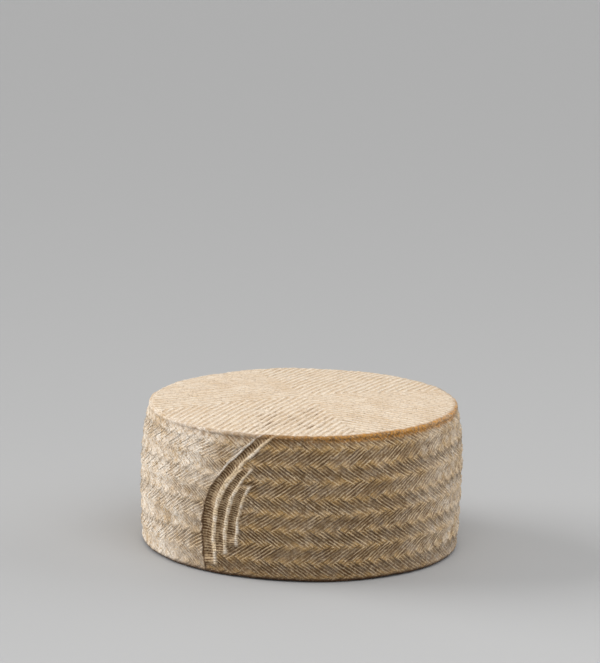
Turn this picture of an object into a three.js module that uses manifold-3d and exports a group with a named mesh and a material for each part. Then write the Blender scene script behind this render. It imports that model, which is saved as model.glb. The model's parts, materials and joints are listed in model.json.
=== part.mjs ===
// A whole wheel of pressed sheep's-milk cheese, moulded and ripened as one piece.
//
// The plaited straw belt that held the curd has left nine shallow hollows round the side, one for
// each row of the plait. The loose end of the belt lay across the front left, and left three
// curved channels side by side.
//
// Millimetres, +Z up. The origin is the centre of the base, and the front faces -Y.

import * as THREE from "three";
import { mergeVertices } from "three/addons/utils/BufferGeometryUtils.js";
import Module from "manifold-3d";

// The wheel.
const WHEEL_DIAMETER = 200; // across the belly, half way up the side
const SIDE_HEIGHT = 89; // from the base to the lip of the top face
const TOP_CROWN = 3; // rise of the top face above its lip
const LIP_TAPER = 3.8; // how much the radius shrinks from the belly up to the lip
const BASE_TAPER = 2.4; // how much it shrinks from the belly down to the base
const BELLY_FULLNESS = 2.2; // power of the side's curve: 2 is round, more is straighter
const LIP_ROUNDING = 3.5; // radius where the side turns into the top face
const BASE_ROUNDING = 6.5; // radius where the side turns into the base

// The plaited belt's rows.
const ROW_PITCH = 9.8; // from one row to the next
const FIRST_ROW_HEIGHT = 7.2; // the middle of the lowest row, above the base
const ROW_DEPTH = 0.6; // how far each row is hollowed

// The loose end of the belt. Its reach is a distance along the side, leftwards from the front.
const BELT_END_REACH = 63.8; // the outer edge, where it runs upright, low on the side
const BELT_END_BEND_DROP = 32; // how far below the lip that edge bends over
const BELT_END_BEND_LENGTH = 6; // how gently it bends
const BELT_END_LEAN = 1.2; // sideways run for each unit of rise, above the bend
const CHANNEL_WIDTH = 8.2;
const CHANNEL_PITCH = 8.5;
const CHANNEL_DEPTH = 1.5;
const CHANNEL_ENDS = [[4, 4], [14, 17], [20, 31]]; // each one's height above the base, drop below the lip

// How finely the curves are divided.
const ROUND_SEGMENTS = 64;
const ROW_SEGMENTS = 4;
const ROUNDING_SEGMENTS = 4;
const CROWN_SEGMENTS = 5;
const CHANNEL_STEPS = 18;
const CUTTER_SEGMENTS = 32;
const CUTTER_CLEARANCE = 0.5; // how far a cutter's ends stand off the side

const bellyRadius = WHEEL_DIAMETER / 2;

const rind = new THREE.MeshStandardMaterial({
  name: "rind",
  color: 0xcbb48a,
  roughness: 0.62,
  metalness: 0,
});

// The side's radius at a height, over the ridges between the rows.
function ridgeRadius(height) {
  const level = (2 * height) / SIDE_HEIGHT - 1;
  const taper = level > 0 ? LIP_TAPER : BASE_TAPER;
  return bellyRadius - taper * Math.abs(level) ** BELLY_FULLNESS;
}

// The side's radius at a height, down in the rows' hollows.
function sideRadius(height) {
  const wave = Math.cos((Math.PI * (height - FIRST_ROW_HEIGHT)) / ROW_PITCH);
  return ridgeRadius(height) - ROW_DEPTH * wave ** 2;
}

// A quarter turn of the outline from one angle to another, round a centre.
function rounding(radius, centre, from, to) {
  const points = [];
  for (let i = 0; i <= ROUNDING_SEGMENTS; i++) {
    const angle = from + ((to - from) * i) / ROUNDING_SEGMENTS;
    const arm = new THREE.Vector2(Math.cos(angle), Math.sin(angle)).multiplyScalar(radius);
    points.push(arm.add(centre));
  }
  return points;
}

// The side between its two roundings, with points on each row's middle and ridge.
function sideOutline() {
  const step = ROW_PITCH / ROW_SEGMENTS;
  const low = BASE_ROUNDING + step / 2;
  const high = SIDE_HEIGHT - LIP_ROUNDING - step / 2;
  const points = [];
  for (let i = Math.ceil((low - FIRST_ROW_HEIGHT) / step); ; i++) {
    const height = FIRST_ROW_HEIGHT + i * step;
    if (height > high) return points;
    points.push(new THREE.Vector2(sideRadius(height), height));
  }
}

// The top face, from its rounded lip to its middle.
function crownOutline(edgeRadius) {
  const points = [];
  for (let i = 1; i <= CROWN_SEGMENTS; i++) {
    const share = 1 - i / CROWN_SEGMENTS;
    const height = SIDE_HEIGHT + TOP_CROWN * (1 - share ** 2);
    points.push(new THREE.Vector2(edgeRadius * share, height));
  }
  return points;
}

// Half the wheel's section, from the middle of the base round to the middle of the top face.
function wheelOutline() {
  const lipHeight = SIDE_HEIGHT - LIP_ROUNDING;
  const baseCentre = new THREE.Vector2(sideRadius(BASE_ROUNDING) - BASE_ROUNDING, BASE_ROUNDING);
  const lipCentre = new THREE.Vector2(sideRadius(lipHeight) - LIP_ROUNDING, lipHeight);
  return [
    new THREE.Vector2(0, 0),
    ...rounding(BASE_ROUNDING, baseCentre, -Math.PI / 2, 0),
    ...sideOutline(),
    ...rounding(LIP_ROUNDING, lipCentre, 0, Math.PI / 2),
    ...crownOutline(lipCentre.x),
  ];
}

// The wheel before the belt's end is pressed in. A lathe turns about Y, so it is stood upright.
function wheelBody() {
  const body = new THREE.LatheGeometry(wheelOutline(), ROUND_SEGMENTS);
  return body.rotateX(Math.PI / 2);
}

// Distance along the side, leftwards from the front, of the belt end's outer edge at a height.
function beltEndEdge(height) {
  const bendHeight = SIDE_HEIGHT - BELT_END_BEND_DROP;
  const rise = (height - bendHeight) / BELT_END_BEND_LENGTH;
  const bend = BELT_END_BEND_LENGTH * Math.log(1 + Math.exp(rise));
  return BELT_END_REACH - BELT_END_LEAN * bend;
}

// A round bar that follows the belt end's edge and cuts one channel. It rises out of the side at
// both ends, so that the channel fades away there.
function channelCutter(index) {
  const [low, drop] = CHANNEL_ENDS[index];
  const high = SIDE_HEIGHT - drop;
  const barRadius = CHANNEL_WIDTH ** 2 / (8 * CHANNEL_DEPTH) + CHANNEL_DEPTH / 2;
  const middle = CHANNEL_WIDTH / 2 + index * CHANNEL_PITCH;
  const points = [];
  for (let i = 0; i <= CHANNEL_STEPS; i++) {
    const height = low + ((high - low) * i) / CHANNEL_STEPS;
    const nearEnd = Math.abs((2 * i) / CHANNEL_STEPS - 1) ** 4;
    const lift = (CHANNEL_DEPTH + CUTTER_CLEARANCE) * nearEnd;
    const surface = ridgeRadius(height);
    const reach = surface + barRadius - CHANNEL_DEPTH + lift;
    const turn = (beltEndEdge(height) - middle) / surface;
    points.push(new THREE.Vector3(-reach * Math.sin(turn), -reach * Math.cos(turn), height));
  }
  const section = new THREE.Shape().absarc(0, 0, barRadius, 0, 2 * Math.PI);
  return new THREE.ExtrudeGeometry(section, {
    extrudePath: new THREE.CatmullRomCurve3(points),
    steps: CHANNEL_STEPS,
    curveSegments: CUTTER_SEGMENTS,
    bevelEnabled: false,
  });
}

const wasm = await Module();
wasm.setup();

// A closed three.js geometry as a solid that can be cut.
function solidOf(geometry) {
  const bare = geometry.clone();
  bare.deleteAttribute("normal");
  bare.deleteAttribute("uv");
  const merged = mergeVertices(bare, 1e-4);
  const vertProperties = new Float32Array(merged.attributes.position.array);
  const triVerts = new Uint32Array(merged.index.array);
  return new wasm.Manifold(new wasm.Mesh({ numProp: 3, vertProperties, triVerts }));
}

// A solid as a three.js geometry.
function geometryOf(solid) {
  const { vertProperties, triVerts } = solid.getMesh();
  const geometry = new THREE.BufferGeometry();
  geometry.setAttribute("position", new THREE.BufferAttribute(vertProperties, 3));
  geometry.setIndex(new THREE.BufferAttribute(triVerts, 1));
  geometry.computeVertexNormals();
  return geometry;
}

// The wheel with the belt end's channels in its side.
function cheeseWheel() {
  let wheel = solidOf(wheelBody());
  for (let index = 0; index < CHANNEL_ENDS.length; index++) {
    wheel = wheel.subtract(solidOf(channelCutter(index)));
  }
  const mesh = new THREE.Mesh(geometryOf(wheel), rind);
  mesh.name = "cheese_wheel";
  return mesh;
}

const model = new THREE.Group();
model.add(cheeseWheel());

export default model;
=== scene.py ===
"""A whole wheel of pressed sheep's-milk cheese on a pale studio floor.

The curd was pressed inside a belt of plaited straw and between two grooved boards. The belt left
rows of herringbone straw marks round the side and, at the front left, the mark of its own loose
end. The boards left four quarters of straight grooves on the top and the bottom.
"""

import json
import logging
import math
from dataclasses import dataclass
from enum import Enum

import bpy
import numpy as np
from mathutils import Matrix, Vector, noise

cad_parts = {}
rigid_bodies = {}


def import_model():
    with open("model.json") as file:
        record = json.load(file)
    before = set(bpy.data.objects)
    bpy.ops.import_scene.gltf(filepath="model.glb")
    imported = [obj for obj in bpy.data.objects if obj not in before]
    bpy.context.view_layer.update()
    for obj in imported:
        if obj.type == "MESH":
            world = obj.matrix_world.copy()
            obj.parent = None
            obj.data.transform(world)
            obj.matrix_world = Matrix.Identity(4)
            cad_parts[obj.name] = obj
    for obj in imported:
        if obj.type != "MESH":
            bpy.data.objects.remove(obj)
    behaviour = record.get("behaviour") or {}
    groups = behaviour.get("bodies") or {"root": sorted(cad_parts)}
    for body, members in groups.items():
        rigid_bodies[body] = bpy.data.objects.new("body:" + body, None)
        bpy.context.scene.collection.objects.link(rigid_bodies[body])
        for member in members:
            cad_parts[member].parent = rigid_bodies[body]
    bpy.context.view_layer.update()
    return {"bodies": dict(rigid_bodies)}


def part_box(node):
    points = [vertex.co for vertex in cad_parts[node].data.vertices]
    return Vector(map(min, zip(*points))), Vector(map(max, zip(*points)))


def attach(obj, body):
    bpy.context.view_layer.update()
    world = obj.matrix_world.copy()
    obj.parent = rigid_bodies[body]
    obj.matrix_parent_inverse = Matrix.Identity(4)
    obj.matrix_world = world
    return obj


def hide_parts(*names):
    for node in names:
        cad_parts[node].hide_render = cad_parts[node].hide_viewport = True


MM = 0.001
Array = np.ndarray
log = logging.getLogger("cheese")


class Face(Enum):
    """The two flat faces of the wheel, by the direction that each looks."""

    TOP = 1
    BOTTOM = -1


# ---------------------------------------------------------------------------- helpers


def deselect_all() -> None:
    """Leaves object mode with nothing selected."""
    if bpy.context.object and bpy.context.object.mode != "OBJECT":
        bpy.ops.object.mode_set(mode="OBJECT")
    bpy.ops.object.select_all(action="DESELECT")


def activate(piece: bpy.types.Object) -> None:
    """Makes one piece the only selected and the active one.

    Args:
        piece: The object to select.
    """
    deselect_all()
    piece.select_set(True)
    bpy.context.view_layer.objects.active = piece


def positions(piece: bpy.types.Object) -> Array:
    """Reads a piece's vertices.

    Args:
        piece: The mesh to read.

    Returns:
        One row of x, y and z for each vertex, in metres.
    """
    flat = np.zeros(len(piece.data.vertices) * 3, np.float32)
    piece.data.vertices.foreach_get("co", flat)
    return flat.reshape(-1, 3).astype(float)


def move_to(piece: bpy.types.Object, points: Array) -> None:
    """Moves every vertex of a piece.

    Args:
        piece: The object to shape.
        points: One row of x, y and z for each vertex, in metres.
    """
    piece.data.vertices.foreach_set("co", points.astype(np.float32).ravel())
    piece.data.update()


def write_values(piece: bpy.types.Object, name: str, values: Array) -> None:
    """Stores one number at each vertex, under a name that materials can read.

    Args:
        piece: The mesh to write to.
        name: The attribute's name.
        values: One number for each vertex.
    """
    stored = piece.data.attributes.get(name)
    if stored is None:
        stored = piece.data.attributes.new(name, "FLOAT", "POINT")
    stored.data.foreach_set("value", values.astype(np.float32))


def read_values(piece: bpy.types.Object, name: str) -> Array:
    """Reads back what write_values stored.

    Args:
        piece: The mesh to read.
        name: The attribute's name.

    Returns:
        One number for each vertex.
    """
    values = np.zeros(len(piece.data.vertices), np.float32)
    piece.data.attributes[name].data.foreach_get("value", values)
    return values.astype(float)


def flat_grid(name: str, columns: int, rows: int) -> bpy.types.Object:
    """A flat unit grid that is then wrapped or mapped into shape.

    Args:
        name: The new object's name.
        columns: Faces along x.
        rows: Faces along y.

    Returns:
        The grid, one metre square from (0, 0), with a UV map that counts the same way.
    """
    deselect_all()
    bpy.ops.mesh.primitive_grid_add(
        x_subdivisions=columns, y_subdivisions=rows, size=1.0, location=(0.5, 0.5, 0.0)
    )
    grid = bpy.context.object
    grid.name = name
    bpy.ops.object.transform_apply(location=True)
    return grid


def merge_seams(piece: bpy.types.Object, distance: float) -> None:
    """Joins vertices that lie on each other, and drops edges and faces without a size.

    Args:
        piece: The object to close.
        distance: The gap that still counts as touching, in metres.
    """
    activate(piece)
    bpy.ops.object.mode_set(mode="EDIT")
    bpy.ops.mesh.select_all(action="SELECT")
    bpy.ops.mesh.remove_doubles(threshold=distance)
    bpy.ops.mesh.dissolve_degenerate(threshold=distance)
    bpy.ops.object.mode_set(mode="OBJECT")


def ripple(points: Array, wave: float, seed: float = 0.0) -> Array:
    """Smooth unevenness that is the same each run.

    Args:
        points: Rows of x, y and z, in metres.
        wave: The rough length of one wave, in metres.
        seed: Shifts the pattern, so that two ripples differ.

    Returns:
        One value for each point, mostly from -0.6 to 0.6.
    """
    places = points / wave + seed
    return np.array([noise.noise(Vector(p)) for p in places])


def smooth_step(value: Array, low: float, high: float) -> Array:
    """Goes smoothly from 0 at low to 1 at high, in either order."""
    share = np.clip((value - low) / (high - low), 0.0, 1.0)
    return share * share * (3.0 - 2.0 * share)


def scatter(index: Array, seed: float) -> Array:
    """A steady pseudo-random number from 0 to 1 for each whole number."""
    return np.mod(np.sin(index * 12.9898 + seed * 78.233) * 43758.5453, 1.0)


# ---------------------------------------------------------------------------- the shape


@dataclass(frozen=True)
class Outline:
    """The wheel's smooth outline, over the ridges of every print, in metres."""

    belly_radius: float
    total_height: float
    crown: float = 3.0 * MM
    lip_taper: float = 4.4 * MM
    base_taper: float = 1.7 * MM
    fullness: float = 2.2
    lip_rounding: float = 3.5 * MM
    base_rounding: float = 4.0 * MM

    @property
    def side_height(self) -> float:
        """Height of the lip above the base."""
        return self.total_height - self.crown

    @property
    def top_radius(self) -> float:
        """Radius where the rounded lip runs into the top face."""
        return float(self.side_radius(self.side_height - self.lip_rounding)) - self.lip_rounding

    @property
    def base_radius(self) -> float:
        """Radius of the flat base."""
        return float(self.side_radius(self.base_rounding)) - self.base_rounding

    def side_radius(self, height: Array) -> Array:
        """The side's radius at a height.

        Args:
            height: Height above the base.

        Returns:
            The radius there, over the ridges of the prints.
        """
        level = 2.0 * np.asarray(height) / self.side_height - 1.0
        taper = np.where(level > 0.0, self.lip_taper, self.base_taper)
        return self.belly_radius - taper * np.abs(level) ** self.fullness

    def place(self, level: Array) -> tuple[Array, Array]:
        """Follows the outline from the base up over the lip.

        Args:
            level: Height on the side. Past a rounding's start it counts along its arc.

        Returns:
            The radius and the height there.
        """
        low, high = self.base_rounding, self.side_height - self.lip_rounding
        straight = np.clip(level, low, high)
        base_turn = np.clip((low - level) / self.base_rounding, 0.0, math.pi / 2)
        lip_turn = np.clip((level - high) / self.lip_rounding, 0.0, math.pi / 2)
        radius = (
            self.side_radius(straight)
            - self.base_rounding * (1.0 - np.cos(base_turn))
            - self.lip_rounding * (1.0 - np.cos(lip_turn))
        )
        height = (
            straight
            - self.base_rounding * np.sin(base_turn)
            + self.lip_rounding * np.sin(lip_turn)
        )
        return radius, height


@dataclass(frozen=True)
class Plait:
    """The straw plait of the belt. Each bundle of straws passes over three others, then under."""

    bundles: int = 68
    straws: int = 3
    crossed: int = 3
    row_pitch: float = 9.8 * MM
    first_row: float = 7.2 * MM
    hollow_depth: float = 1.0 * MM
    straw_depth: float = 0.42 * MM
    bundle_ridge: float = 0.30 * MM

    @property
    def unit(self) -> float:
        """Height of one whole step of the plait's lattice, in metres."""
        return 2.0 * self.row_pitch / self.crossed

    def level(self, rise: Array) -> Array:
        """The level in metres of a count of lattice steps."""
        return self.first_row + (rise - 0.5) * self.unit

    def depth(self, around: Array, rise: Array) -> Array:
        """How deep the plait has printed.

        Args:
            around: Bundles counted round the side.
            rise: Lattice steps counted up the side.

        Returns:
            Depth below the smooth outline, in metres.
        """
        falling, climbing = around + rise, around - rise
        tiny = 1e-4
        bundle_a = np.floor(falling + tiny)
        bundle_b = np.floor(climbing + tiny)
        crossing = np.mod(bundle_a - bundle_b, 2 * self.crossed)
        on_a = crossing < self.crossed
        own = np.where(on_a, falling, climbing)
        along_a = np.mod(bundle_a + 1.0 - climbing, 2 * self.crossed) / self.crossed
        along_b = (np.mod(falling - bundle_b, 2 * self.crossed) - self.crossed) / self.crossed
        along = np.clip(np.where(on_a, along_a, along_b), 0.0, 1.0)
        hollow = 1.0 - np.abs(2.0 * along - 1.0) ** 2.0
        groove = 1.0 - np.abs(2.0 * np.mod(own * self.straws, 1.0) - 1.0)
        edge = np.mod(own, 1.0)
        near_edge = np.clip(1.0 - 6.0 * np.minimum(edge, 1.0 - edge), 0.0, 1.0)
        strength = 0.45 + 1.1 * scatter(np.floor(own * self.straws + tiny) + 31.0 * crossing, 1.0)
        bundle = 0.75 + 0.5 * scatter(np.floor(own + tiny) + 7.0 * crossing, 2.0)
        return (
            self.hollow_depth * hollow * bundle
            + self.straw_depth * groove * strength
            + self.bundle_ridge * (1.0 - near_edge * (1.0 - 0.7 * along))
        )


@dataclass(frozen=True)
class Wear:
    """The unevenness that pressing by hand and months of ripening leave all over the rind."""

    waves: tuple[tuple[float, float], ...] = (
        (45.0 * MM, 0.50 * MM),
        (14.0 * MM, 0.30 * MM),
        (5.0 * MM, 0.22 * MM),
        (2.2 * MM, 0.14 * MM),
    )
    lip_crumble: float = 0.5 * MM
    margin: float = 0.4 * MM
    lean: float = 1.5 * MM

    def depth(self, points: Array, at_lip: Array) -> Array:
        """How far the rind lies below the smooth outline, in metres.

        Args:
            points: Places on the rind.
            at_lip: 1 on the lip, 0 away from it.

        Returns:
            A depth that is never below zero.
        """
        depth = np.full(len(points), self.margin)
        for seed, (wave, height) in enumerate(self.waves):
            depth += height * ripple(points, wave, 5.0 * seed)
        crumble = np.abs(ripple(points, 3.0 * MM, 40.0)) + np.abs(ripple(points, 1.6 * MM, 50.0))
        return np.clip(depth + self.lip_crumble * at_lip * crumble, 0.0, None)

    def leaned(self, points: Array, outline: Outline) -> Array:
        """Makes the wheel a little higher on one side, as a press that closes unevenly does.

        Args:
            points: Places on the wheel.
            outline: The wheel's outline.

        Returns:
            The places, moved.
        """
        moved = points.copy()
        share = points[:, 0] / outline.belly_radius * points[:, 2] / outline.side_height
        moved[:, 2] += self.lean * share
        return moved


@dataclass(frozen=True)
class BeltEnd:
    """The mark of the belt's loose end: three curved channels that lie side by side.

    Distances run rightwards along the side from the mark's outer, left-hand edge.
    """

    reach: float = 64.6 * MM
    bend_height: float = 54.0 * MM
    bend_length: float = 9.0 * MM
    lean: float = 1.1
    flare_height: float = 26.0 * MM
    flare: float = 4.0 * MM
    ridges: tuple[float, ...] = (9.4 * MM, 17.5 * MM, 25.3 * MM)
    spans: tuple[tuple[float, float], ...] = (
        (7.0 * MM, 99.0 * MM),
        (15.0 * MM, 66.0 * MM),
        (21.0 * MM, 55.5 * MM),
    )
    ridge_half: float = 0.75 * MM
    channel_depth: float = 1.5 * MM
    rib_pitch: float = 1.8 * MM
    rib_depth: float = 0.42 * MM
    burr_height: float = 0.6 * MM
    step: float = 0.7 * MM
    step_fade: float = 60.0 * MM

    def edge(self, level: Array) -> Array:
        """Follows the outer edge up the side.

        Args:
            level: Height on the side.

        Returns:
            The edge's distance along the side, leftwards from the front.
        """
        bend = self.bend_length * np.log1p(np.exp((level - self.bend_height) / self.bend_length))
        flare = self.flare * np.clip(1.0 - level / self.flare_height, 0.0, 1.0) ** 2
        return self.reach - self.lean * bend - flare

    def distance(self, across: Array, level: Array) -> Array:
        """Distance along the side, rightwards from the outer edge, below zero left of it."""
        return across + self.edge(level)

    def along(self, distance: Array, level: Array) -> Array:
        """Distance along the belt's end, square to its ribs.

        Args:
            distance: Distance along the side from the outer edge.
            level: Height on the side.

        Returns:
            The length of the outer edge up to the nearest point of it.
        """
        levels = np.linspace(-20 * MM, 120 * MM, 561)
        slope = -np.gradient(self.edge(levels), levels)
        length = np.concatenate([[0.0], np.cumsum(np.hypot(slope[1:], 1.0) * np.diff(levels))])
        local = np.interp(level, levels, slope)
        return np.interp(level, levels, length) + distance * local / np.hypot(local, 1.0)

    def cover(self, distance: Array, level: Array) -> Array:
        """Finds where the belt's end has pressed out the plait.

        Args:
            distance: Distance along the side from the outer edge.
            level: Height on the side.

        Returns:
            1 under the belt's end, 0 elsewhere.
        """
        cover = np.zeros_like(distance)
        start = 0.0
        for end, (low, high) in zip(self.ridges, self.spans):
            inside = smooth_step(distance, start - 0.4 * MM, start + 0.4 * MM)
            inside = inside * smooth_step(distance, end + 0.8 * MM, end)
            ends = smooth_step(level, low - 3 * MM, low) * smooth_step(level, high + 3 * MM, high)
            cover = np.maximum(cover, inside * ends)
            start = end
        return cover

    def bowls(self, distance: Array, level: Array) -> Array:
        """Shapes the channels across, without their fading ends. The first ridge widens upwards.

        Args:
            distance: Distance along the side from the outer edge.
            level: Height on the side.

        Returns:
            How deep the channels are, from 0 on their ridges to 1.
        """
        wide = self.ridge_half * (1.0 + 0.9 * smooth_step(level, 36 * MM, 56 * MM))
        bowls = np.zeros_like(distance)
        start, lead = 0.0, 0.0
        for end in self.ridges:
            half = wide if start == 0.0 else self.ridge_half
            width = end - start - lead - half
            share = np.clip((distance - start - lead) / width, 0.0, 1.0)
            bowls = np.maximum(bowls, np.sin(math.pi * share**0.75))
            start, lead = end, half
        return bowls

    def depth(self, distance: Array, level: Array) -> Array:
        """Adds up the channels, their ribs, the burr and the step at the outer edge.

        Args:
            distance: Distance along the side from the outer edge.
            level: Height on the side.

        Returns:
            Depth below the smooth outline, in metres. The burr stands above it.
        """
        depth = np.where(distance < 0.0, 0.0, self.step * np.exp(-distance / self.step_fade))
        count = self.along(distance, level) / self.rib_pitch
        rib = np.abs(2.0 * np.mod(count, 1.0) - 1.0)
        bowls = self.bowls(distance, level)
        start = 0.0
        for end, (low, high) in zip(self.ridges, self.spans):
            inside = (distance >= start) & (distance < end)
            ends = smooth_step(level, low, low + 5 * MM) * smooth_step(level, high, high - 6 * MM)
            bowl = np.where(inside, bowls * ends, 0.0)
            depth = depth + (self.channel_depth + self.rib_depth * rib) * bowl
            start = end
        burr = np.clip(1.0 - np.abs(distance + 0.7 * MM) / (1.0 * MM), 0.0, 1.0)
        burr = burr * smooth_step(level, 60 * MM, 72 * MM)
        return depth - self.burr_height * burr


@dataclass(frozen=True)
class BoardPrint:
    """The grooves of a pressing board: four quarters, each grooved along its own middle line."""

    grooves: int = 31
    quarter_start: float = math.radians(-70.0)
    groove_depth: float = 0.75 * MM
    half_width: float = 0.24
    rows: int = 22
    hardest_spot: tuple[float, float] = (-8.0 * MM, -62.0 * MM)
    spot_reach: float = 27.0 * MM
    rim_fade: float = 5.0 * MM

    def columns(self) -> Array:
        """Places the mesh lines across a quarter.

        Returns:
            Each line's place, counted in grooves from the quarter's middle.
        """
        half = self.grooves / 2.0
        shares = (0.0, self.half_width, 1.0 - self.half_width)
        places = [groove + share for groove in range(self.grooves) for share in shares]
        return np.array([*places, float(self.grooves)]) - half

    def mark(self, points: Array, radius: float) -> Array:
        """How hard the board pressed, from 0 to about 1.

        Args:
            points: Places on the face.
            radius: The face's radius.

        Returns:
            The share of the full groove depth at each place.
        """
        away = np.hypot(points[:, 0] - self.hardest_spot[0], points[:, 1] - self.hardest_spot[1])
        hard = 0.38 + 0.62 * np.exp(-((away / self.spot_reach) ** 2))
        uneven = 0.8 + 0.7 * ripple(points, 15 * MM, 3.0) + 0.5 * ripple(points, 5 * MM, 9.0)
        rim = radius - np.hypot(points[:, 0], points[:, 1])
        return hard * np.clip(uneven, 0.1, 1.3) * smooth_step(rim, 0.3 * MM, self.rim_fade)

    def depth(self, across: Array, mark: Array) -> Array:
        """Depth of the grooves.

        Args:
            across: Grooves counted across a quarter, from its middle.
            mark: The share of the full depth at each place.

        Returns:
            Depth below the face, in metres.
        """
        share = np.mod(across + 0.5, 1.0)
        gap = np.minimum(share, 1.0 - share)
        return self.groove_depth * mark * np.clip(1.0 - gap / self.half_width, 0.0, 1.0)


class Wheel:
    """The whole cheese, one solid piece with its rind."""

    lowest_row = -5
    highest_row = 79
    side_seam = 1e-6
    face_seam = 5e-6
    lift_places = (-200.0, -72.0, -56.0, 20.0, 105.0, 200.0)
    lifts = (0.0, 3.0, 0.3, -0.5, 0.6, 0.0)

    def __init__(self, low: Vector, high: Vector) -> None:
        """Takes its overall size from the frame.

        Args:
            low: The lowest corner of the cheese's CAD node, in metres.
            high: Its highest corner.
        """
        self.outline = Outline(belly_radius=(high.x - low.x) / 2.0, total_height=high.z)
        self.plait = Plait()
        self.belt_end = BeltEnd()
        self.board = BoardPrint()
        self.wear = Wear()
        self.steps = 2 * self.plait.straws

    def build(self) -> bpy.types.Object:
        """Makes the wheel: side and faces, closed, with all prints pressed in.

        Returns:
            The finished mesh, without its material.
        """
        wheel = self.side()
        self.refine_belt_end(wheel)
        self.close(wheel, {face: self.face(face) for face in Face})
        self.press(wheel)
        move_to(wheel, self.wear.leaned(positions(wheel), self.outline))
        return wheel

    def side(self) -> bpy.types.Object:
        """The side, from the base's rounding to the lip's, wrapped from a flat grid.

        The grid's diagonals run along the straws, and each face is poked, so that every straw's
        groove and ridge has its own line of vertices.

        Returns:
            An open tube with a UV map that counts bundles and lattice steps.
        """
        columns = self.plait.bundles * self.steps
        rows = self.highest_row - self.lowest_row
        tube = flat_grid("wheel_rind", columns, rows)
        bpy.ops.object.mode_set(mode="EDIT")
        bpy.ops.mesh.select_all(action="SELECT")
        bpy.ops.mesh.poke()
        bpy.ops.object.mode_set(mode="OBJECT")
        grid = positions(tube)
        around = grid[:, 0] * self.plait.bundles
        rise = (self.lowest_row + grid[:, 1] * rows) / self.steps
        across = (grid[:, 0] - 0.5) * 2.0 * math.pi * self.outline.belly_radius
        level = self.lifted(self.plait.level(rise), across)
        turn = across / self.outline.belly_radius
        radius, height = self.outline.place(level)
        move_to(tube, np.stack([radius * np.sin(turn), -radius * np.cos(turn), height], axis=1))
        self.write_uv(tube, np.stack([around, rise], axis=1))
        write_values(tube, "side_share", np.ones(len(level)))
        write_values(tube, "across", across)
        write_values(tube, "level", level)
        merge_seams(tube, self.side_seam)
        return tube

    def lifted(self, level: Array, across: Array) -> Array:
        """Lets the rows climb and fall a little on their way round, as a belt wound by hand does.

        Args:
            level: Levels of an even belt.
            across: Distance round the side from the front.

        Returns:
            The levels, moved most half way up and not at all at the base and the lip.
        """
        lift = np.interp(across / MM, self.lift_places, self.lifts) * MM
        height = self.outline.side_height
        middle = np.clip(1.0 - np.abs(2.0 * level / height - 1.0) ** 4, 0.0, 1.0)
        return level + lift * middle

    def refine_belt_end(self, tube: bpy.types.Object) -> None:
        """Divides the faces under the belt end's mark once more, for its ridges and fine ribs.

        Args:
            tube: The side.
        """
        across, level = read_values(tube, "across"), read_values(tube, "level")
        distance = self.belt_end.distance(across, level)
        margin = 1.2 * MM
        inside = (distance > -margin) & (distance < self.belt_end.ridges[-1] + margin)
        activate(tube)
        # In vertex mode the faces' selection would be worked out again from the vertices.
        bpy.ops.object.mode_set(mode="EDIT")
        bpy.ops.mesh.select_mode(type="FACE")
        bpy.ops.mesh.select_all(action="DESELECT")
        bpy.ops.object.mode_set(mode="OBJECT")
        for face in tube.data.polygons:
            face.select = all(inside[v] for v in face.vertices)
        bpy.ops.object.mode_set(mode="EDIT")
        bpy.ops.mesh.subdivide(number_cuts=1)
        bpy.ops.mesh.select_mode(type="VERT")
        bpy.ops.mesh.select_all(action="SELECT")
        bpy.ops.mesh.quads_convert_to_tris()
        bpy.ops.object.mode_set(mode="OBJECT")

    def face(self, face: Face) -> bpy.types.Object:
        """The top or bottom face: one quarter's grid, mapped, copied round and closed.

        Args:
            face: Which face to make.

        Returns:
            An open disc with a UV map that counts grooves.
        """
        radius = self.outline.top_radius if face is Face.TOP else self.outline.base_radius
        places = self.board.columns()
        quarter = flat_grid(f"{face.name.lower()}_face", len(places) - 1, self.board.rows)
        grid = positions(quarter)
        column = np.rint(grid[:, 0] * (len(places) - 1)).astype(int)
        pitch = radius * math.sqrt(2.0) / self.board.grooves
        sideways = places[column] * pitch
        rim = np.sqrt(np.clip(radius**2 - sideways**2, 0.0, None))
        outwards = np.abs(sideways) + grid[:, 1] ** 0.85 * (rim - np.abs(sideways))
        turn = self.board.quarter_start + math.pi / 4
        x = outwards * math.cos(turn) - sideways * math.sin(turn)
        y = outwards * math.sin(turn) + sideways * math.cos(turn)
        height = np.zeros_like(x)
        if face is Face.TOP:
            spread = np.hypot(x, y) / radius
            height = self.outline.side_height + self.outline.crown * (1.0 - spread**2)
        move_to(quarter, np.stack([x, y, height], axis=1))
        self.write_uv(quarter, np.stack([sideways / pitch, outwards / pitch], axis=1))
        disc = self.copied_round(quarter)
        write_values(disc, "board_mark", self.board.mark(positions(disc), radius))
        return disc

    def copied_round(self, quarter: bpy.types.Object) -> bpy.types.Object:
        """Copies a quarter three times round the wheel's axis and joins the four.

        Args:
            quarter: The first quarter. It takes in the others.

        Returns:
            The whole face.
        """
        quarters = [quarter]
        for number in range(1, 4):
            activate(quarter)
            bpy.ops.object.duplicate()
            copy = bpy.context.object
            angle = number * math.pi / 2
            points = positions(copy)
            x = points[:, 0] * math.cos(angle) - points[:, 1] * math.sin(angle)
            y = points[:, 0] * math.sin(angle) + points[:, 1] * math.cos(angle)
            move_to(copy, np.stack([x, y, points[:, 2]], axis=1))
            quarters.append(copy)
        activate(quarter)
        for copy in quarters:
            copy.select_set(True)
        bpy.ops.object.join()
        merge_seams(quarter, self.face_seam)
        return quarter

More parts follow.
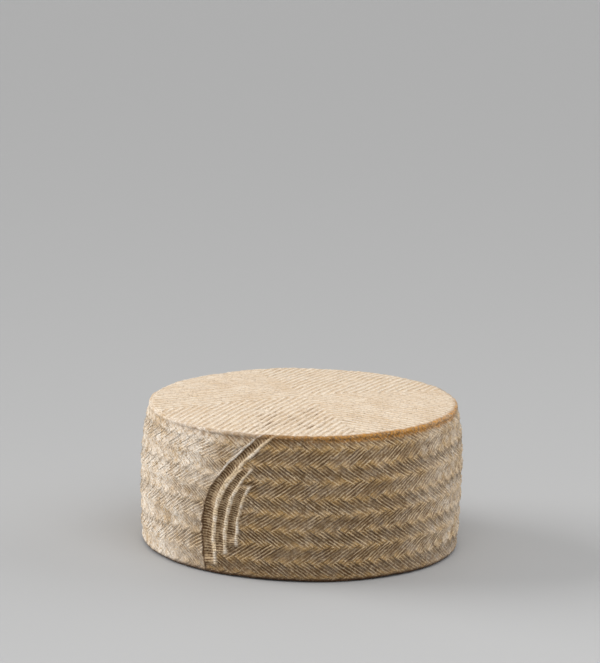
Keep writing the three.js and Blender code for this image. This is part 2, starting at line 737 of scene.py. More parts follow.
    @staticmethod
    def write_uv(piece: bpy.types.Object, counts: Array) -> None:
        """Stores the print's own counting on the surface, for the rind's pattern to follow.

        Args:
            piece: The mesh to write to.
            counts: Two values for each vertex.
        """
        layer = piece.data.uv_layers[0]
        layer.name = "print"
        corners = np.zeros(len(piece.data.loops), np.int32)
        piece.data.loops.foreach_get("vertex_index", corners)
        layer.data.foreach_set("uv", counts[corners].astype(np.float32).ravel())

    @staticmethod
    def read_uv(piece: bpy.types.Object) -> Array:
        """Reads back what write_uv stored.

        Args:
            piece: The mesh to read.

        Returns:
            Two values for each vertex.
        """
        loops = len(piece.data.loops)
        corners = np.zeros(loops, np.int32)
        piece.data.loops.foreach_get("vertex_index", corners)
        flat = np.zeros(loops * 2, np.float32)
        piece.data.uv_layers["print"].data.foreach_get("uv", flat)
        counts = np.zeros((len(piece.data.vertices), 2))
        counts[corners] = flat.reshape(-1, 2)
        return counts

    def close(self, tube: bpy.types.Object, faces: dict[Face, bpy.types.Object]) -> None:
        """Joins the two faces to the side, and fills the narrow ring between them.

        Args:
            tube: The side. It takes in the others.
            faces: The top and bottom faces.
        """
        for face, disc in faces.items():
            activate(tube)
            disc.select_set(True)
            bpy.ops.object.join()
            self.select_rims(tube, face)
            bpy.ops.object.mode_set(mode="EDIT")
            bpy.ops.mesh.fill(use_beauty=True)
            bpy.ops.object.mode_set(mode="OBJECT")
        bpy.ops.object.mode_set(mode="EDIT")
        bpy.ops.mesh.select_mode(type="VERT")
        bpy.ops.mesh.select_all(action="SELECT")
        bpy.ops.mesh.normals_make_consistent(inside=False)
        bpy.ops.object.mode_set(mode="OBJECT")
        bpy.ops.object.shade_smooth()

    def select_rims(self, tube: bpy.types.Object, face: Face) -> None:
        """Selects the open edges at one end of the wheel.

        Args:
            tube: The mesh that holds the side and a loose face.
            face: Which end.
        """
        activate(tube)
        bpy.ops.object.mode_set(mode="EDIT")
        bpy.ops.mesh.select_mode(type="EDGE")
        bpy.ops.mesh.select_all(action="DESELECT")
        bpy.ops.mesh.select_non_manifold(
            use_wire=False, use_multi_face=False, use_non_contiguous=False, use_verts=False
        )
        bpy.ops.object.mode_set(mode="OBJECT")
        middle = self.outline.side_height / 2.0
        vertices = tube.data.vertices
        kept = [False] * len(tube.data.edges)
        for edge in tube.data.edges:
            above = vertices[edge.vertices[0]].co.z > middle
            kept[edge.index] = edge.select and above == (face is Face.TOP)
        vertices.foreach_set("select", [False] * len(vertices))
        tube.data.edges.foreach_set("select", kept)

    def press(self, wheel: bpy.types.Object) -> None:
        """Presses the prints and the wear into the smooth wheel, along its surface.

        Args:
            wheel: The closed, smooth wheel.
        """
        depth = self.depth(wheel)
        deepest = float(depth.max())
        group = wheel.vertex_groups.new(name="print_depth")
        for index, share in enumerate(depth / deepest):
            group.add([index], float(share), "REPLACE")
        displace = wheel.modifiers.new("prints", "DISPLACE")
        displace.vertex_group = group.name
        displace.mid_level = 0.0
        displace.strength = -deepest
        activate(wheel)
        bpy.ops.object.modifier_apply(modifier=displace.name)
        wheel.vertex_groups.clear()

    def depth(self, wheel: bpy.types.Object) -> Array:
        """Works out how deep each vertex lies, and leaves the marks that the rind's finish reads.

        Args:
            wheel: The closed, smooth wheel.

        Returns:
            Each vertex's depth below the smooth outline, in metres.
        """
        points, counts = positions(wheel), self.read_uv(wheel)
        side = read_values(wheel, "side_share")
        level = read_values(wheel, "level")
        wander = 0.7 * MM * ripple(points, 6 * MM, 70.0)
        distance = self.belt_end.distance(read_values(wheel, "across"), level) + wander
        cover = self.belt_end.cover(distance, level) * side
        lip = self.outline.side_height
        reach = smooth_step(level, -1.5 * MM, 4.0 * MM) * smooth_step(level, lip, lip - 3.2 * MM)
        plait_mark = side * reach * (1.0 - cover)
        write_values(wheel, "plait_mark", plait_mark)
        write_values(wheel, "belt_end_cover", cover)
        write_values(wheel, "belt_end_bowl", self.belt_end.bowls(distance, level) * cover)
        write_values(wheel, "belt_end_distance", np.where(side > 0.5, distance / MM, 1000.0))
        write_values(wheel, "belt_end_along", self.belt_end.along(distance, level) / MM)
        out = np.hypot(points[:, 0], points[:, 1])
        at_lip = smooth_step(points[:, 2], lip - 5 * MM, lip - 1 * MM)
        at_lip = at_lip * smooth_step(out, self.outline.top_radius - 3 * MM, self.outline.top_radius)
        return (
            plait_mark * self.plait.depth(counts[:, 0], counts[:, 1])
            + side * reach * self.belt_end.depth(distance, level)
            + self.board.depth(counts[:, 0], read_values(wheel, "board_mark"))
            + self.wear.depth(points, at_lip)
        )


# ---------------------------------------------------------------------------- shaders


class Signal:
    """A value in a shader, worked with like a number."""

    def __init__(self, graph: "Graph", socket: bpy.types.NodeSocket) -> None:
        """Wraps the socket that gives the value."""
        self.graph = graph
        self.socket = socket

    def __add__(self, other: "Value") -> "Signal":
        """The sum."""
        return self.graph.math("ADD", self, other)

    def __radd__(self, other: float) -> "Signal":
        """The sum, with a number on the left."""
        return self.graph.math("ADD", other, self)

    def __sub__(self, other: "Value") -> "Signal":
        """The difference."""
        return self.graph.math("SUBTRACT", self, other)

    def __rsub__(self, other: float) -> "Signal":
        """The difference, with a number on the left."""
        return self.graph.math("SUBTRACT", other, self)

    def __mul__(self, other: "Value") -> "Signal":
        """The product."""
        return self.graph.math("MULTIPLY", self, other)

    def __rmul__(self, other: float) -> "Signal":
        """The product, with a number on the left."""
        return self.graph.math("MULTIPLY", other, self)

    def __mod__(self, other: "Value") -> "Signal":
        """The remainder, never below zero."""
        return self.graph.math("FLOORED_MODULO", self, other)

    def floor(self) -> "Signal":
        """The whole number at or below."""
        return self.graph.math("FLOOR", self)

    def fract(self) -> "Signal":
        """The part after the whole number."""
        return self.graph.math("FRACT", self)

    def abs(self) -> "Signal":
        """The size without its sign."""
        return self.graph.math("ABSOLUTE", self)

    def smooth(self, low: float, high: float) -> "Signal":
        """Goes smoothly from 0 at low to 1 at high, in either order."""
        return self.graph.smooth(self, low, high)


Value = Signal | float
Colour = tuple[float, float, float]


def paint(red: int, green: int, blue: int) -> Colour:
    """A colour from screen values of 0 to 255, as the light values that shaders use."""
    shares = (red / 255.0, green / 255.0, blue / 255.0)
    return tuple(s / 12.92 if s <= 0.04045 else ((s + 0.055) / 1.055) ** 2.4 for s in shares)


class Graph:
    """A material's nodes, added and wired one value at a time."""

    def __init__(self, name: str) -> None:
        """Starts a material.

        Args:
            name: The material's name.
        """
        self.material = bpy.data.materials.new(name)
        self.material.use_nodes = True
        self.tree = self.material.node_tree
        self.shader = self.tree.nodes["Principled BSDF"]

    def node(self, kind: str, **settings: object) -> bpy.types.Node:
        """Adds a node.

        Args:
            kind: The node's type, without the word that all types start with.
            **settings: The node's own settings, by name.

        Returns:
            The node.
        """
        node = self.tree.nodes.new(f"ShaderNode{kind}")
        for name, value in settings.items():
            setattr(node, name, value)
        return node

    def feed(self, socket: bpy.types.NodeSocket, value: object) -> None:
        """Gives a socket its value: a wire from a signal, or a plain number or colour.

        Args:
            socket: The input to set.
            value: A signal, a number, a colour or a vector.
        """
        if isinstance(value, Signal):
            self.tree.links.new(value.socket, socket)
        elif socket.type == "RGBA":
            socket.default_value = (*value, 1.0)
        else:
            socket.default_value = value

    def math(self, operation: str, *values: Value) -> Signal:
        """Adds one step of arithmetic.

        Args:
            operation: What the step does.
            *values: What it works on.

        Returns:
            The result.
        """
        node = self.node("Math", operation=operation)
        for socket, value in zip(node.inputs, values):
            self.feed(socket, value)
        return Signal(self, node.outputs[0])

    def smooth(self, value: Value, low: float, high: float) -> Signal:
        """Goes smoothly from 0 at low to 1 at high, in either order.

        Args:
            value: The value to look at.
            low: Where the result is 0.
            high: Where the result is 1.

        Returns:
            A value from 0 to 1.
        """
        backwards = low > high
        node = self.node("MapRange", interpolation_type="SMOOTHSTEP")
        self.feed(node.inputs["Value"], value)
        node.inputs["From Min"].default_value = high if backwards else low
        node.inputs["From Max"].default_value = low if backwards else high
        node.inputs["To Min"].default_value = 1.0 if backwards else 0.0
        node.inputs["To Max"].default_value = 0.0 if backwards else 1.0
        return Signal(self, node.outputs["Result"])

    def mix(self, share: Value, first: object, second: object) -> Signal:
        """Blends two colours.

        Args:
            share: 0 for the first colour, 1 for the second.
            first: A colour, or a signal that carries one.
            second: Another.

        Returns:
            The blended colour.
        """
        node = self.node("Mix", data_type="RGBA")
        self.feed(node.inputs[0], share)
        self.feed(node.inputs[6], first)
        self.feed(node.inputs[7], second)
        return Signal(self, node.outputs[2])

    def choose(self, share: Value, first: Value, second: Value) -> Signal:
        """Blends two numbers.

        Args:
            share: 0 for the first number, 1 for the second.
            first: A number.
            second: Another.

        Returns:
            The blended number.
        """
        node = self.node("Mix", data_type="FLOAT")
        self.feed(node.inputs[0], share)
        self.feed(node.inputs[2], first)
        self.feed(node.inputs[3], second)
        return Signal(self, node.outputs[0])

    def attribute(self, name: str) -> Signal:
        """A number stored on the mesh."""
        return Signal(self, self.node("Attribute", attribute_name=name).outputs["Fac"])

    def vector(self, x: Value, y: Value, z: Value = 0.0) -> Signal:
        """Builds a vector.

        Args:
            x: Its first part.
            y: Its second part.
            z: Its third part.

        Returns:
            The vector.
        """
        node = self.node("CombineXYZ")
        for socket, value in zip(node.inputs, (x, y, z)):
            self.feed(socket, value)
        return Signal(self, node.outputs[0])

    def parts(self, vector: Signal) -> list[Signal]:
        """Takes a vector apart.

        Args:
            vector: The vector.

        Returns:
            Its three parts.
        """
        node = self.node("SeparateXYZ")
        self.feed(node.inputs[0], vector)
        return [Signal(self, socket) for socket in node.outputs]

    def millimetres(self) -> Signal:
        """Finds the place on the piece.

        Returns:
            The place in the piece's own frame, in millimetres.
        """
        place = Signal(self, self.node("TexCoord").outputs["Object"])
        node = self.node("VectorMath", operation="SCALE")
        self.feed(node.inputs[0], place)
        node.inputs["Scale"].default_value = 1.0 / MM
        return Signal(self, node.outputs[0])

    def noise(self, place: Signal, wave: float, detail: float = 2.0, rough: float = 0.5) -> Signal:
        """Smooth unevenness, about 0.5 on average.

        Args:
            place: Where, in the same units as wave.
            wave: The rough length of one wave.
            detail: How many finer layers are added.
            rough: How strong the finer layers are.

        Returns:
            A value from 0 to 1.
        """
        node = self.node("TexNoise", noise_dimensions="3D")
        self.feed(node.inputs["Vector"], place)
        node.inputs["Scale"].default_value = 1.0 / wave
        node.inputs["Detail"].default_value = detail
        node.inputs["Roughness"].default_value = rough
        return Signal(self, node.outputs["Fac"])

    def chance(self, place: Signal) -> Signal:
        """Draws a random value that is the same wherever the vector is the same.

        Args:
            place: The vector.

        Returns:
            A value from 0 to 1.
        """
        node = self.node("TexWhiteNoise", noise_dimensions="3D")
        self.feed(node.inputs["Vector"], place)
        return Signal(self, node.outputs["Value"])

    def spots(self, place: Signal, pitch: float, size: float, share: float) -> Signal:
        """Small round spots, scattered.

        Args:
            place: Where, in the same units as pitch.
            pitch: The rough distance between places for a spot.
            size: A spot's radius, as a share of the pitch.
            share: How many of the places have a spot.

        Returns:
            1 in the middle of a spot and 0 outside.
        """
        node = self.node("TexVoronoi")
        self.feed(node.inputs["Vector"], place)
        node.inputs["Scale"].default_value = 1.0 / pitch
        near = self.smooth(Signal(self, node.outputs["Distance"]), size, size * 0.4)
        lot = self.parts(Signal(self, node.outputs["Color"]))[0]
        return near * self.smooth(lot, share + 0.01, share - 0.01)


@dataclass(frozen=True)
class PlaitLines:
    """What the shader knows about the straw print at a place, each from 0 to 1.

    Attributes:
        ridge: 1 on the line between two straws, 0 in the middle of a straw.
        straw: A random number for each straw.
        fibre: Fine streaks along the straws.
        up: 0 at a bundle's lower end, 1 at its upper end.
        bundle_edge: 1 on the line between two bundles.
    """

    ridge: Signal
    straw: Signal
    fibre: Signal
    up: Signal
    bundle_edge: Signal


@dataclass(frozen=True)
class Weather:
    """How a place on the side has dried and worn, each from 0 to 1.

    Attributes:
        left: 1 left of the belt end's mark and round the back, 0 at the front right.
        edge: How much dry bloom there is away from the front, partly painted light that brightens the
            sides.
        away: The larger of the two.
        low: 0 at the base, 1 well above it.
        patch: Unevenness over some centimetres.
        speck: Unevenness over some millimetres.
        clear: How clearly the print shows.
        blot: 1 where the print has worn off.
    """

    left: Signal
    edge: Signal
    away: Signal
    low: Signal
    patch: Signal
    speck: Signal
    clear: Signal
    blot: Signal


@dataclass(frozen=True)
class Rind:
    """The natural rind: cream where it is lit and dry, olive-brown down in the prints, partly painted
    shade there.
    """

    # The groove colour also serves as painted shade at the base and by the belt end's outer edge;
    # groove and hollow are partly painted shade in the prints.
    groove: Colour = paint(76, 50, 22)
    hollow: Colour = paint(130, 105, 72)
    ridge: Colour = paint(182, 146, 92)
    crest: Colour = paint(232, 208, 172)
    dust: Colour = paint(216, 192, 158)
    pale: Colour = paint(222, 209, 193)
    channel: Colour = paint(176, 150, 116)
    bloom: Colour = paint(235, 225, 211)
    slot: Colour = paint(112, 80, 48)
    face: Colour = paint(212, 196, 175)
    face_tan: Colour = paint(188, 160, 126)
    slit: Colour = paint(110, 80, 52)
    lip: Colour = paint(194, 136, 58)
    lip_brown: Colour = paint(128, 92, 50)
    # Painted shade: the dark band along the base's rounding, which turns away from the light.
    foot_shade: Colour = paint(66, 36, 10)

    def material(self, wheel: Wheel) -> bpy.types.Material:
        """Mixes the whole rind.

        Args:
            wheel: The cheese, for the sizes of its prints.

        Returns:
            The finished material.
        """
        graph = Graph("rind")
        place = graph.millimetres()
        side = graph.attribute("side_share")
        side_colour, side_height = self.side(graph, wheel, place)
        face_colour, face_height = self.face_print(graph, place)
        colour = graph.mix(side, face_colour, side_colour)
        height = graph.choose(side, face_height, side_height)
        colour, height = self.edges(graph, wheel, place, colour, height)
        grain = graph.noise(place, 1.5, 3.0, 0.7)
        colour = graph.mix(grain.smooth(0.49, 0.34) * 0.50, colour, self.slot)
        colour = graph.mix(grain.smooth(0.54, 0.70) * 0.45, colour, self.dust)
        height = height + grain * 0.34
        self.finish(graph, place, colour, height)
        return graph.material

    @staticmethod
    def print_counts(graph: Graph) -> list[Signal]:
        """The surface's own counting of the prints."""
        node = graph.node("UVMap", uv_map="print")
        return graph.parts(Signal(graph, node.outputs[0]))

    def plait_lines(self, graph: Graph, plait: Plait, place: Signal) -> PlaitLines:
        """Follows the straws' print from the surface's own counting.

        Args:
            graph: The material's nodes.
            plait: The belt's plait.
            place: The place in millimetres.

        Returns:
            The print at the place.
        """
        count = self.print_counts(graph)
        sway = (graph.noise(place, 7.0, 1.0) - 0.5) * 0.16
        shake = (graph.noise(place, 2.0, 1.0) - 0.5) * 0.12
        falling = count[0] + count[1] + sway + shake
        climbing = count[0] - count[1] + sway - shake
        crossing = (falling.floor() - climbing.floor()) % (2.0 * plait.crossed)
        climbs = graph.math("GREATER_THAN", crossing, plait.crossed - 0.5)
        own = graph.choose(climbs, falling, climbing)
        other = graph.choose(climbs, climbing, falling)
        straws = own * float(plait.straws)
        rises = (falling - climbing.floor()) % (2.0 * plait.crossed)
        falls = (falling.floor() + 1.0 - climbing) % (2.0 * plait.crossed)
        up = graph.choose(climbs, falls, rises - float(plait.crossed)) * (1.0 / plait.crossed)
        streaks = graph.vector(straws * 2.6, other * 0.8, climbs * 7.0)
        return PlaitLines(
            ridge=(straws.fract() - 0.5).abs() * 2.0,
            straw=graph.chance(graph.vector((straws + 0.5).floor(), climbs)),
            fibre=graph.noise(streaks, 1.0, 3.0, 0.6),
            up=up,
            bundle_edge=(own.fract() - 0.5).abs() * 2.0,
        )

    def side(self, graph: Graph, wheel: Wheel, place: Signal) -> tuple[Signal, Signal]:
        """Mixes the side: the plait's print, the bloom over it, and the belt's end.

        Args:
            graph: The material's nodes.
            wheel: The cheese, for the sizes of its prints.
            place: The place in millimetres.

        Returns:
            The colour, and the fine height in millimetres.
        """
        lines = self.plait_lines(graph, wheel.plait, place)
        mark = graph.attribute("plait_mark")
        weather = self.weather(graph, place)
        rib = lines.bundle_edge.smooth(0.86, 1.0) * lines.up.smooth(1.0, 0.1)
        colour = self.straw_marks(graph, lines, weather, mark, rib)
        colour = self.ripened(graph, place, weather, colour)
        fresh = weather.clear * (1.0 - 0.6 * weather.blot)
        height = lines.ridge * lines.ridge * 0.55 * fresh + rib * 0.40 - lines.fibre * 0.30
        end_colour, end_height, cover = self.belt_end(graph, wheel, place)
        colour = graph.mix(cover, colour, end_colour)
        return self.burr(graph, place, colour), graph.choose(cover, height * mark, end_height)

    def weather(self, graph: Graph, place: Signal) -> Weather:
        """Works out how the side has dried and worn.

        Args:
            graph: The material's nodes.
            place: The place in millimetres.

        Returns:
            The weather at the place.
        """
        left, edge = self.left_share(graph, place), self.bloom_and_light_share(graph, place)
        away = graph.math("MAXIMUM", left, edge)
        patch = graph.noise(place, 18.0, 3.0)
        low = graph.parts(place)[2].smooth(0.0, 14.0)
        return Weather(
            left=left,
            edge=edge,
            away=away,
            low=low,
            patch=patch,
            speck=graph.noise(place, 2.4, 3.0, 0.7),
            clear=(patch.smooth(0.30, 0.60) * 0.6 + 0.4) * (0.65 + 0.35 * low),
            blot=graph.noise(place, 6.5, 3.0, 0.65).smooth(0.44, 0.58) * away,
        )

    def straw_marks(
        self, graph: Graph, lines: PlaitLines, weather: Weather, mark: Signal, rib: Signal
    ) -> Signal:
        """Colours the straws' print: brown down in it, partly painted shade, pale on the lines between
        the straws.

        Args:
            graph: The material's nodes.
            lines: The print at the place.
            weather: How the place has dried and worn.
            mark: How much of the plait has printed.
            rib: 1 on the ridge between two bundles.

        Returns:
            The colour.
        """
        left, clear, blot = weather.left, weather.clear, weather.blot
        end = (lines.up * 2.0 - 1.0).abs() + (weather.speck - 0.5) * 0.9
        # Partly painted shade: each row is darker down its middle, in the plait's hollow, than near
        # its ends.
        near_end = end.smooth(0.30, 1.1)
        ground = graph.mix(near_end * mark, self.hollow, self.ridge)
        # Paler ground on the left, and on the sides away from the front, the latter partly painted
        # light.
        pale = graph.math("MAXIMUM", left, weather.edge * 0.45)
        worn = graph.mix(weather.patch.smooth(0.40, 0.70) * 0.6, self.pale, self.ridge)
        ground = graph.mix(pale, ground, worn)
        # Partly painted shade: the brown in the straws' grooves deepens towards each bundle's upper
        # end, under the row above.
        down = lines.ridge.smooth(0.50, 0.05) * mark * clear * (0.6 + 0.6 * lines.up)
        down = down * (0.4 + 1.3 * lines.fibre) * (0.6 + 0.7 * lines.straw)
        down = down * (1.25 - 0.6 * near_end) * (1.0 - 0.4 * weather.edge)
        down = down * (1.0 - 0.6 * blot)
        brown = graph.mix(left * 0.7, self.groove, self.slot)
        colour = graph.mix(graph.math("MINIMUM", down, 1.0), ground, brown)
        dark = lines.fibre.smooth(0.52, 0.68) * mark * (0.6 - 0.35 * blot) * clear
        colour = graph.mix(dark, colour, self.groove)
        line = lines.ridge.smooth(0.50, 0.95) * (0.15 + 0.85 * lines.straw)
        lit = (line * 1.05 + rib * 1.4) * mark * weather.speck.smooth(0.32, 0.56)
        lit = lit * (0.5 + 0.5 * clear)
        return graph.mix(graph.math("MINIMUM", lit, 1.0), colour, self.crest)

    def ripened(self, graph: Graph, place: Signal, weather: Weather, colour: Signal) -> Signal:
        """Lays the bloom, the mottling and the grit over the print, and paints shade that darkens the
        side towards the base.

        Args:
            graph: The material's nodes.
            place: The place in millimetres.
            weather: How the place has dried and worn.
            colour: The print's colour.

        Returns:
            The colour, ripened.
        """
        left = weather.left
        cloud = graph.noise(place, 10.0, 4.0, 0.65)
        bloom = cloud.smooth(0.40, 0.66) * (0.2 + 0.8 * weather.speck.smooth(0.36, 0.60))
        # Partly painted light: the bloom lies thicker on the sides, away from the front.
        share = 0.12 + 0.66 * left + 0.30 * weather.edge
        colour = graph.mix(bloom * share, colour, self.bloom)
        mottle = graph.noise(place, 3.6, 3.0, 0.65).smooth(0.47, 0.34) * weather.away
        colour = graph.mix(mottle * 0.5, colour, self.ridge)
        grit = graph.noise(place, 1.2, 2.0, 0.75).smooth(0.50, 0.36)
        colour = graph.mix(grit * left * 0.55, colour, self.ridge)
        # Painted shade: the side darkens towards the base, most at the front right.
        painted_base_shade = (1.0 - weather.low) * (0.40 - 0.34 * left)
        return graph.mix(painted_base_shade, colour, self.groove)

    @staticmethod
    def left_share(graph: Graph, place: Signal) -> Signal:
        """Tells the pale left and back of the side from the brown front right.

        Args:
            graph: The material's nodes.
            place: The place in millimetres.

        Returns:
            1 left of the belt end's mark and round to the back, 0 at the front right.
        """
        x, y, _ = graph.parts(place)
        distance = graph.attribute("belt_end_distance")
        near = distance.smooth(3.0, -2.0) * 0.45 + distance.smooth(2.0, -44.0) * 0.55
        near = graph.math("MAXIMUM", near, distance.smooth(150.0, 320.0))
        return near * (x - 0.35 * y).smooth(40.0, -20.0)

    @staticmethod
    def bloom_and_light_share(graph: Graph, place: Signal) -> Signal:
        """How much dry bloom there is away from the front, partly painted light on the sides, from 0
        to 1.
        """
        x, y, _ = graph.parts(place)
        return (y + 0.55 * x.abs()).smooth(-64.0, 20.0)

    def belt_end(self, graph: Graph, wheel: Wheel, place: Signal) -> tuple[Signal, Signal, Signal]:
        """Mixes the belt end's channels, their ribs and their ridges, with painted shadow on the wall
        along its outer edge.

        Args:
            graph: The material's nodes.
            wheel: The cheese, for the sizes of its prints.
            place: The place in millimetres.

        Returns:
            The colour, the fine height in millimetres, and how much of the side they cover.
        """
        mark = wheel.belt_end
        distance = graph.attribute("belt_end_distance")
        along = graph.attribute("belt_end_along")
        cover = graph.attribute("belt_end_cover")
        wiggle = (graph.noise(place, 2.6) - 0.5) * 0.9
        count = (along + wiggle) * (MM / mark.rib_pitch)
        rib = (count.fract() - 0.5).abs() * 2.0
        bowl = graph.attribute("belt_end_bowl")
        speck = graph.noise(place, 1.6, 3.0, 0.7)
        patch = graph.noise(place, 6.0, 2.0)
        colour = graph.mix(patch.smooth(0.35, 0.65), self.hollow, self.channel)
        slot = rib.smooth(0.70, 0.20) * bowl.smooth(0.15, 0.6) * (0.30 + 1.0 * speck)
        slot = slot * (0.55 + 0.9 * (patch.smooth(0.62, 0.40)))
        colour = graph.mix(graph.math("MINIMUM", slot, 1.0), colour, self.groove)
        light = rib.smooth(0.60, 0.95) * speck.smooth(0.35, 0.6) * 0.5
        colour = graph.mix(light, colour, self.crest)
        # Painted shadow: the first channel's wall darkened along the outer edge, where the proud side
        # left of it shades it.
        painted_wall_shadow = distance.abs().smooth(1.6, 0.0) * 0.6
        colour = graph.mix(painted_wall_shadow, colour, self.groove)
        top = bowl.smooth(0.50, 0.05) * (distance - 2.0).smooth(0.0, 1.0)
        top = top * (0.45 + 0.42 * speck.smooth(0.38, 0.54))
        colour = graph.mix(top, colour, graph.mix(patch.smooth(0.35, 0.65), self.crest, self.bloom))
        return colour, rib * 0.35 + speck * 0.40, cover

    def burr(self, graph: Graph, place: Signal, colour: Signal) -> Signal:
        """Draws the thin pale burr and, lower down, painted shadow: the dark line along the belt end's
        outer edge.

        Args:
            graph: The material's nodes.
            place: The place in millimetres.
            colour: The side's colour.

        Returns:
            The colour with both.
        """
        distance = graph.attribute("belt_end_distance")
        height = graph.parts(place)[2]
        near = (distance + 0.6).abs().smooth(1.2, 0.4)
        colour = graph.mix(near * height.smooth(56.0, 70.0) * 0.85, colour, self.bloom)
        # Painted shadow: a dark line just right of the outer edge, cast by the proud side left of it.
        dark = (distance - 0.4).abs().smooth(0.9, 0.2)
        return graph.mix(dark * height.smooth(66.0, 40.0) * 0.75, colour, self.groove)

    def face_print(self, graph: Graph, place: Signal) -> tuple[Signal, Signal]:
        """Mixes the top and the bottom: the board's stripes and slits, streaks and pits.

        Args:
            graph: The material's nodes.
            place: The place in millimetres.

        Returns:
            The colour, and the fine height in millimetres.
        """
        count = self.print_counts(graph)
        mark = graph.attribute("board_mark")
        sway = (graph.noise(place, 7.0, 2.0) - 0.5) * 0.35
        line = count[0] + sway + 0.5
        gap = 0.5 - (line.fract() - 0.5).abs()
        along = graph.vector(line.floor() * 3.7, count[1] * 0.38)
        long = graph.noise(along, 1.0, 2.0, 0.6)
        slit = gap.smooth(0.17, 0.02) * mark.smooth(0.40, 0.80) * long.smooth(0.46, 0.58)
        streaks = graph.vector(count[0] * 3.4, count[1] * 0.6)
        streak = graph.noise(streaks, 1.0, 4.0, 0.7)
        cloud = graph.noise(place, 22.0, 3.0)
        speck = graph.noise(place, 2.0, 3.0, 0.7)
        colour = graph.mix(cloud.smooth(0.35, 0.7) * 0.4, self.face, self.face_tan)
        stripe = gap.smooth(0.34, 0.06) * long.smooth(0.28, 0.58)
        colour = graph.mix(stripe * 0.6, colour, self.face_tan)
        colour = graph.mix(streak.smooth(0.50, 0.38) * 0.6, colour, self.face_tan)
        ridge = gap.smooth(0.22, 0.46) * speck.smooth(0.35, 0.6)
        colour = graph.mix(ridge * 0.50, colour, self.bloom)
        colour = graph.mix(slit * (0.35 + 0.8 * speck), colour, self.slit)
        pits = graph.spots(place, 15.0, 0.06, 0.30)
        colour = graph.mix(pits * 0.85, colour, self.slit)
        return colour, streak * 0.5 - stripe * 0.4 - slit * 0.6 - pits * 0.8

    def edges(
        self, graph: Graph, wheel: Wheel, place: Signal, colour: Signal, height: Signal
    ) -> tuple[Signal, Signal]:
        """Adds the shade painted under the lip, the rubbed ochre lip, and painted shade that darkens
        the base's rounding.

        Args:
            graph: The material's nodes.
            wheel: The cheese, for the sizes of its prints.
            place: The place in millimetres.
            colour: The colour so far.
            height: The fine height so far, in millimetres.

        Returns:
            The colour and the fine height, changed.
        """
        x, y, z = graph.parts(place)
        out = graph.math("SQRT", x * x + y * y)
        ragged = (graph.noise(place, 4.0, 4.0, 0.7) - 0.5) * 7.0
        lip_level = wheel.outline.side_height / MM + x * (wheel.wear.lean / wheel.outline.belly_radius)
        rim = wheel.outline.top_radius / MM
        below = lip_level - z + ragged * 0.45
        beyond = (out + ragged * 0.5).smooth(rim - 0.5, rim + 2.0)
        shade = below.smooth(8.5, 3.0) * beyond * graph.noise(place, 3.0, 3.0, 0.7).smooth(0.4, 0.6)
        shade = shade * (y + 0.35 * x).smooth(-62.0, -98.0)
        colour = graph.mix(shade * 0.65, colour, self.lip_brown)
        favoured = (x * 0.72 - y * 0.69).smooth(30.0, 95.0)
        near = (below - 2.6 * favoured).smooth(3.6, 1.0)
        near = near * (out + ragged * 0.5).smooth(rim - 1.4, rim + 1.4)
        patchy = graph.noise(place, 1.8, 3.0, 0.7)
        amount = near * favoured * (0.1 + 0.85 * patchy.smooth(0.42, 0.56))
        colour = graph.mix(amount, colour, self.lip)
        flecks = near * patchy.smooth(0.50, 0.38) * (0.25 + 0.6 * favoured)
        colour = graph.mix(flecks, colour, self.lip_brown)
        # Painted shade: the base's rounding darkened to near black-brown, as if in shadow.
        foot_shade = (z + ragged * 0.12).smooth(3.2, 1.0) * out.smooth(84.0, 92.0)
        colour = graph.mix(foot_shade * 0.92, colour, self.foot_shade)
        return colour, height - near * patchy * 0.5

    def finish(self, graph: Graph, place: Signal, colour: Signal, height: Signal) -> None:
        """Wires the colour, roughness and bump to the shader.

        Args:
            graph: The material's nodes.
            place: The place in millimetres.
            colour: The colour.
            height: The fine height in millimetres.
        """
        graph.feed(graph.shader.inputs["Base Color"], colour)
        rough = graph.choose(graph.noise(place, 7.0, 3.0).smooth(0.3, 0.7), 0.60, 0.85)
        graph.feed(graph.shader.inputs["Roughness"], rough)
        graph.shader.inputs["Specular IOR Level"].default_value = 0.3
        bump = graph.node("Bump")
        bump.inputs["Distance"].default_value = MM
        bump.inputs["Strength"].default_value = 1.0
        graph.feed(bump.inputs["Height"], height)
        graph.tree.links.new(bump.outputs["Normal"], graph.shader.inputs["Normal"])


# ---------------------------------------------------------------------------- the studio


@dataclass(frozen=True)
class WallLight:
    """A large, far, soft light that reaches the whole floor evenly.

    Attributes:
        name: The light's name.
        source: Where the light comes from, as a direction.
        strength: Its strength on a surface that faces it.
        spread: The angle that it fills, which softens the shadows.
    """

    name: str
    source: tuple[float, float, float]
    strength: float
    spread: float

    def build(self) -> None:
        """Adds the light."""
        deselect_all()
        bpy.ops.object.light_add(type="SUN", location=self.source)
        light = bpy.context.object
        light.name = self.name
        light.data.energy = self.strength
        light.data.angle = self.spread
        light.rotation_euler = (-Vector(self.source)).to_track_quat("-Z", "Y").to_euler()


@dataclass(frozen=True)
class Softbox:
    """A square soft light that hangs over the cheese."""

    name: str
    place: tuple[float, float, float]
    size: float
    power: float

    def build(self) -> None:
        """Adds the light, looking at the middle of the floor."""
        deselect_all()
        bpy.ops.object.light_add(type="AREA", location=self.place)
        light = bpy.context.object
        light.name = self.name
        light.data.size = self.size
        light.data.energy = self.power
        light.rotation_euler = (-Vector(self.place)).to_track_quat("-Z", "Y").to_euler()


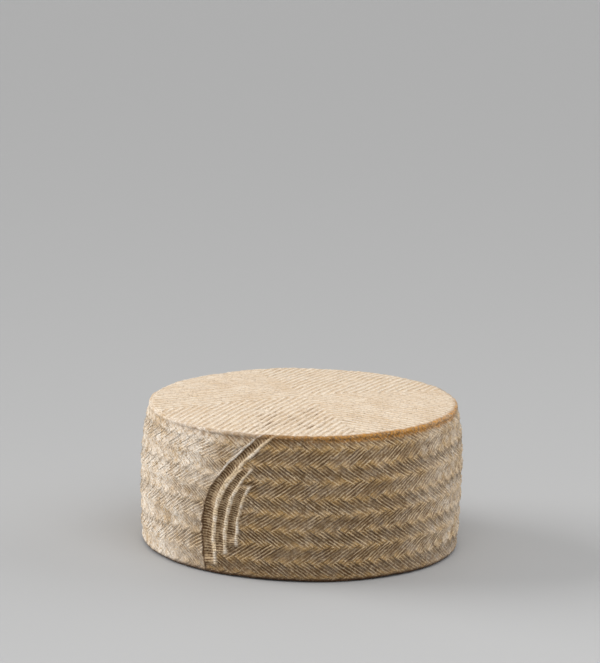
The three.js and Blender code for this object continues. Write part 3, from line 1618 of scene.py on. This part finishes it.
@dataclass(frozen=True)
class Studio:
    """A pale floor, soft lights and the camera."""

    floor_size: float = 30.0
    floor_gap: float = 0.05 * MM
    floor_grey: float = 0.39
    sky_grey: float = 0.56
    camera_place: tuple[float, float, float] = (-3.2 * MM, -1980.0 * MM, 540.0 * MM)
    camera_pitch: float = math.radians(11.65)
    camera_roll: float = math.radians(1.5)
    camera_lens: float = 179.2
    lights: tuple[WallLight | Softbox, ...] = (
        WallLight("key_light", (-0.88, 0.20, 0.38), 2.8, math.radians(45.0)),
        WallLight("edge_light", (0.88, 0.30, 0.30), 1.2, math.radians(60.0)),
        Softbox("front_light", (0.25, -0.70, 1.20), 1.2, 10.0),
    )

    def build(self) -> None:
        """Sets up the whole studio."""
        self.floor()
        self.sky()
        for light in self.lights:
            light.build()
        self.camera()

    def floor(self) -> None:
        """A wide, plain, pale floor."""
        deselect_all()
        bpy.ops.mesh.primitive_plane_add(size=self.floor_size, location=(0.0, 0.0, -self.floor_gap))
        floor = bpy.context.object
        floor.name = "floor"
        graph = Graph("floor_paper")
        graph.shader.inputs["Base Color"].default_value = (*[self.floor_grey] * 3, 1.0)
        graph.shader.inputs["Roughness"].default_value = 0.7
        graph.shader.inputs["Specular IOR Level"].default_value = 0.2
        floor.data.materials.append(graph.material)

    def sky(self) -> None:
        """Even grey light from all round."""
        world = bpy.data.worlds.new("studio_walls")
        world.use_nodes = True
        background = world.node_tree.nodes["Background"]
        background.inputs["Color"].default_value = (*[self.sky_grey] * 3, 1.0)
        bpy.context.scene.world = world

    def camera(self) -> None:
        """A long lens, a little above the wheel, held not quite level."""
        deselect_all()
        bpy.ops.object.camera_add(location=self.camera_place)
        camera = bpy.context.object
        camera.name = "camera"
        tip = Matrix.Rotation(math.pi / 2 - self.camera_pitch, 3, "X")
        camera.rotation_euler = (tip @ Matrix.Rotation(self.camera_roll, 3, "Z")).to_euler()
        camera.data.lens = self.camera_lens
        bpy.context.scene.camera = camera
        bpy.context.scene.view_settings.view_transform = "Standard"


def main() -> None:
    """Builds the cheese, its rind and the studio."""
    logging.basicConfig(level=logging.INFO, format="%(message)s")
    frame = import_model()
    low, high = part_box("cheese_wheel")
    Studio().build()
    wheel = Wheel(low, high)
    piece = wheel.build()
    piece.data.materials.append(Rind().material(wheel))
    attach(piece, "root")
    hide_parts("cheese_wheel")
    log.info("%s: %d faces, on %s", piece.name, len(piece.data.polygons), list(frame["bodies"]))


if __name__ == "__main__":
    main()
